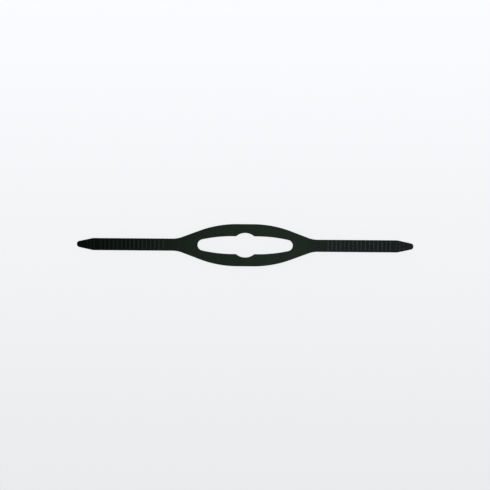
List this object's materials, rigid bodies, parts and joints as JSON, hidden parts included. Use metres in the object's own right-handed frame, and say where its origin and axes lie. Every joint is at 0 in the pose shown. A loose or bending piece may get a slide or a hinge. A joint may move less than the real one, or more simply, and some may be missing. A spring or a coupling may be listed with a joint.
{
  "type": "diving mask strap",
  "caption": "Split-back silicone strap for a diving or snorkelling mask: lens-shaped loop with a notched opening and two ribbed, tapered tails.",
  "frame": {"origin": "middle of the loop, on the face that the strap rests on", "axes": "+X along the strap, +Y across it, +Z through its thickness, towards the ribbed face"},
  "size_m": [0.443, 0.0556, 0.003],
  "materials": {
    "band_silicone": "satin, moulded, slightly green black",
    "tail_silicone": "satin, ribbed"
  },
  "bodies": {
    "back_middle": {"upper_band_middle": "band_silicone", "lower_band_middle": "band_silicone"},
    "left_band_inner_body": {"left_upper_band_inner": "band_silicone", "left_lower_band_inner": "band_silicone"},
    "left_band_outer_body": {"left_upper_band_outer": "band_silicone", "left_lower_band_outer": "band_silicone", "left_fork": "band_silicone"},
    "left_neck_body": {"left_neck": "band_silicone"},
    "left_tail_root_body": {"left_tail_root": "tail_silicone"},
    "left_tail_inner_body": {"left_tail_inner": "tail_silicone"},
    "left_tail_middle_body": {"left_tail_middle": "tail_silicone"},
    "left_fold_inner_body": {"left_fold_inner": "tail_silicone"},
    "left_fold_outer_body": {"left_fold_outer": "tail_silicone"},
    "left_tail_end_body": {"left_tail_outer": "tail_silicone", "left_tail_tip": "tail_silicone"},
    "right_band_inner_body": {"right_upper_band_inner": "band_silicone", "right_lower_band_inner": "band_silicone"},
    "right_band_outer_body": {"right_upper_band_outer": "band_silicone", "right_lower_band_outer": "band_silicone", "right_fork": "band_silicone"},
    "right_neck_body": {"right_neck": "band_silicone"},
    "right_tail_root_body": {"right_tail_root": "tail_silicone"},
    "right_tail_inner_body": {"right_tail_inner": "tail_silicone"},
    "right_tail_middle_body": {"right_tail_middle": "tail_silicone"},
    "right_fold_inner_body": {"right_fold_inner": "tail_silicone"},
    "right_fold_outer_body": {"right_fold_outer": "tail_silicone"},
    "right_tail_end_body": {"right_tail_outer": "tail_silicone", "right_tail_tip": "tail_silicone"}
  },
  "joints": [
    {"name": "left_back_wrap", "type": "hinge", "parent": "back_middle", "child": "left_band_inner_body", "pos_m": [-0.022, 0, 0.0024], "axis": [0, 1, 0], "range_deg": [0, 25], "stiffness_Nm_per_rad": 0.003},
    {"name": "left_back_wrap_outer", "type": "hinge", "parent": "left_band_inner_body", "child": "left_band_outer_body", "pos_m": [-0.044, 0, 0.0024], "axis": [0, 1, 0], "range_deg": [0, 25], "stiffness_Nm_per_rad": 0.003},
    {"name": "left_back_wrap_neck", "type": "hinge", "parent": "left_band_outer_body", "child": "left_neck_body", "pos_m": [-0.074, 0, 0.0024], "axis": [0, 1, 0], "range_deg": [0, 25], "stiffness_Nm_per_rad": 0.003},
    {"name": "left_tail_curl", "type": "hinge", "parent": "left_neck_body", "child": "left_tail_root_body", "pos_m": [-0.098, 0, 0.0024], "axis": [0, 1, 0], "range_deg": [0, 15], "stiffness_Nm_per_rad": 0.002},
    {"name": "left_tail_curl_inner", "type": "hinge", "parent": "left_tail_root_body", "child": "left_tail_inner_body", "pos_m": [-0.1221, 0, 0.0024], "axis": [0, 1, 0], "range_deg": [0, 15], "stiffness_Nm_per_rad": 0.002},
    {"name": "left_tail_curl_middle", "type": "hinge", "parent": "left_tail_inner_body", "child": "left_tail_middle_body", "pos_m": [-0.14386, 0, 0.0024], "axis": [0, 1, 0], "range_deg": [0, 15], "stiffness_Nm_per_rad": 0.002},
    {"name": "left_buckle_fold", "type": "hinge", "parent": "left_tail_middle_body", "child": "left_fold_inner_body", "pos_m": [-0.16562, 0, 0.0024], "axis": [0, 1, 0], "range_deg": [0, 55], "stiffness_Nm_per_rad": 0.004},
    {"name": "left_buckle_fold_middle", "type": "hinge", "parent": "left_fold_inner_body", "child": "left_fold_outer_body", "pos_m": [-0.17106, 0, 0.0024], "axis": [0, 1, 0], "range_deg": [0, 55], "stiffness_Nm_per_rad": 0.004},
    {"name": "left_buckle_fold_outer", "type": "hinge", "parent": "left_fold_outer_body", "child": "left_tail_end_body", "pos_m": [-0.1765, 0, 0.0024], "axis": [0, 1, 0], "range_deg": [0, 55], "stiffness_Nm_per_rad": 0.004},
    {"name": "right_back_wrap", "type": "hinge", "parent": "back_middle", "child": "right_band_inner_body", "pos_m": [0.022, 0, 0.0024], "axis": [0, -1, 0], "range_deg": [0, 25], "stiffness_Nm_per_rad": 0.003},
    {"name": "right_back_wrap_outer", "type": "hinge", "parent": "right_band_inner_body", "child": "right_band_outer_body", "pos_m": [0.044, 0, 0.0024], "axis": [0, -1, 0], "range_deg": [0, 25], "stiffness_Nm_per_rad": 0.003},
    {"name": "right_back_wrap_neck", "type": "hinge", "parent": "right_band_outer_body", "child": "right_neck_body", "pos_m": [0.074, 0, 0.0024], "axis": [0, -1, 0], "range_deg": [0, 25], "stiffness_Nm_per_rad": 0.003},
    {"name": "right_tail_curl", "type": "hinge", "parent": "right_neck_body", "child": "right_tail_root_body", "pos_m": [0.098, 0, 0.0024], "axis": [0, -1, 0], "range_deg": [0, 15], "stiffness_Nm_per_rad": 0.002},
    {"name": "right_tail_curl_inner", "type": "hinge", "parent": "right_tail_root_body", "child": "right_tail_inner_body", "pos_m": [0.1221, 0, 0.0024], "axis": [0, -1, 0], "range_deg": [0, 15], "stiffness_Nm_per_rad": 0.002},
    {"name": "right_tail_curl_middle", "type": "hinge", "parent": "right_tail_inner_body", "child": "right_tail_middle_body", "pos_m": [0.14386, 0, 0.0024], "axis": [0, -1, 0], "range_deg": [0, 15], "stiffness_Nm_per_rad": 0.002},
    {"name": "right_buckle_fold", "type": "hinge", "parent": "right_tail_middle_body", "child": "right_fold_inner_body", "pos_m": [0.16562, 0, 0.0024], "axis": [0, -1, 0], "range_deg": [0, 55], "stiffness_Nm_per_rad": 0.004},
    {"name": "right_buckle_fold_middle", "type": "hinge", "parent": "right_fold_inner_body", "child": "right_fold_outer_body", "pos_m": [0.17106, 0, 0.0024], "axis": [0, -1, 0], "range_deg": [0, 55], "stiffness_Nm_per_rad": 0.004},
    {"name": "right_buckle_fold_outer", "type": "hinge", "parent": "right_fold_outer_body", "child": "right_tail_end_body", "pos_m": [0.1765, 0, 0.0024], "axis": [0, -1, 0], "range_deg": [0, 55], "stiffness_Nm_per_rad": 0.004}
  ],
  "couplings": [
    {"joint": "left_back_wrap_outer", "follows": "left_back_wrap", "ratio": 1},
    {"joint": "left_back_wrap_neck", "follows": "left_back_wrap", "ratio": 1},
    {"joint": "left_tail_curl_inner", "follows": "left_tail_curl", "ratio": 1},
    {"joint": "left_tail_curl_middle", "follows": "left_tail_curl", "ratio": 1},
    {"joint": "left_buckle_fold_middle", "follows": "left_buckle_fold", "ratio": 1},
    {"joint": "left_buckle_fold_outer", "follows": "left_buckle_fold", "ratio": 1},
    {"joint": "right_back_wrap_outer", "follows": "right_back_wrap", "ratio": 1},
    {"joint": "right_back_wrap_neck", "follows": "right_back_wrap", "ratio": 1},
    {"joint": "right_tail_curl_inner", "follows": "right_tail_curl", "ratio": 1},
    {"joint": "right_tail_curl_middle", "follows": "right_tail_curl", "ratio": 1},
    {"joint": "right_buckle_fold_middle", "follows": "right_buckle_fold", "ratio": 1},
    {"joint": "right_buckle_fold_outer", "follows": "right_buckle_fold", "ratio": 1}
  ]
}
